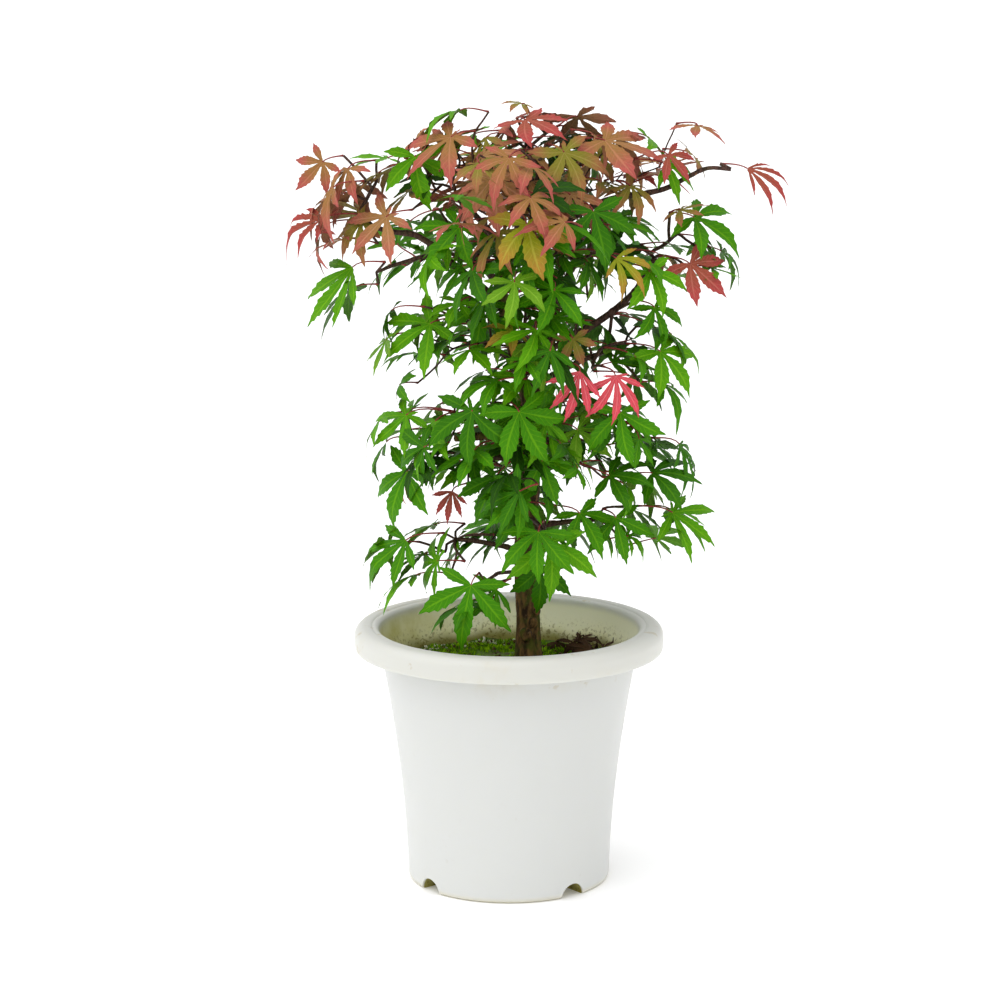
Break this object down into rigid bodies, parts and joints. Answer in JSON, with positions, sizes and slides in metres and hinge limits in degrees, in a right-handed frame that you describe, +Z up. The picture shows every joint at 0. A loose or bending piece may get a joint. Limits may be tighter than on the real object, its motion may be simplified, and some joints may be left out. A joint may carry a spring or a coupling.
{
  "type": "potted japanese maple",
  "caption": "Young potted Japanese maple: a leaning trunk with slender boughs and lobed green and bronze leaves, in a round white flared plastic pot with a rolled rim.",
  "frame": {"origin": "middle of the pot's flat underside, on the surface it stands on", "axes": "+Z up along the pot's axis, -Y towards the front, +X to the right seen from the front"},
  "size_m": [0.25, 0.176, 0.3791],
  "materials": {
    "pot_plastic": "satin",
    "mossy_soil": "matte",
    "bark": "matte",
    "young_bark": "satin",
    "green_leaves": "satin",
    "bronze_leaves": "satin"
  },
  "bodies": {
    "root": {"pot": "pot_plastic", "soil": "mossy_soil", "trunk": "bark", "left_leader": "bark", "right_leader": "bark", "crown_left_bough": "young_bark", "crown_right_bough": "young_bark", "crown_front_bough": "young_bark", "crown_back_bough": "young_bark", "far_left_bough": "young_bark", "left_hanging_bough": "young_bark", "far_right_bough": "young_bark", "right_shoulder_bough": "young_bark", "upper_left_bough": "young_bark", "upper_front_bough": "young_bark", "upper_right_bough": "young_bark", "upper_back_left_bough": "young_bark", "upper_back_right_bough": "young_bark", "mid_left_bough": "young_bark", "mid_front_bough": "young_bark", "mid_right_bough": "young_bark", "mid_back_bough": "young_bark", "lower_left_bough": "young_bark", "lower_front_bough": "young_bark", "lower_right_bough": "young_bark", "lower_back_bough": "young_bark", "left_skirt_bough": "young_bark", "right_skirt_bough": "young_bark", "front_leaves_bough": "young_bark", "front_low_leaves_bough": "young_bark", "back_skirt_bough": "young_bark", "crown_top": "bronze_leaves", "crown_left": "bronze_leaves", "crown_right": "bronze_leaves", "crown_front": "bronze_leaves", "crown_back": "bronze_leaves", "far_left": "bronze_leaves", "left_hanging": "green_leaves", "far_right": "bronze_leaves", "right_shoulder": "green_leaves", "upper_left": "green_leaves", "upper_front": "green_leaves", "upper_right": "green_leaves", "upper_back_left": "green_leaves", "upper_back_right": "green_leaves", "mid_left": "green_leaves", "mid_front": "green_leaves", "mid_right": "green_leaves", "mid_back": "green_leaves", "lower_left": "green_leaves", "lower_front": "green_leaves", "lower_right": "green_leaves", "lower_back": "green_leaves", "left_skirt": "green_leaves", "right_skirt": "green_leaves", "front_leaves": "green_leaves", "front_low_leaves": "green_leaves", "back_skirt": "green_leaves"}
  },
  "joints": []
}
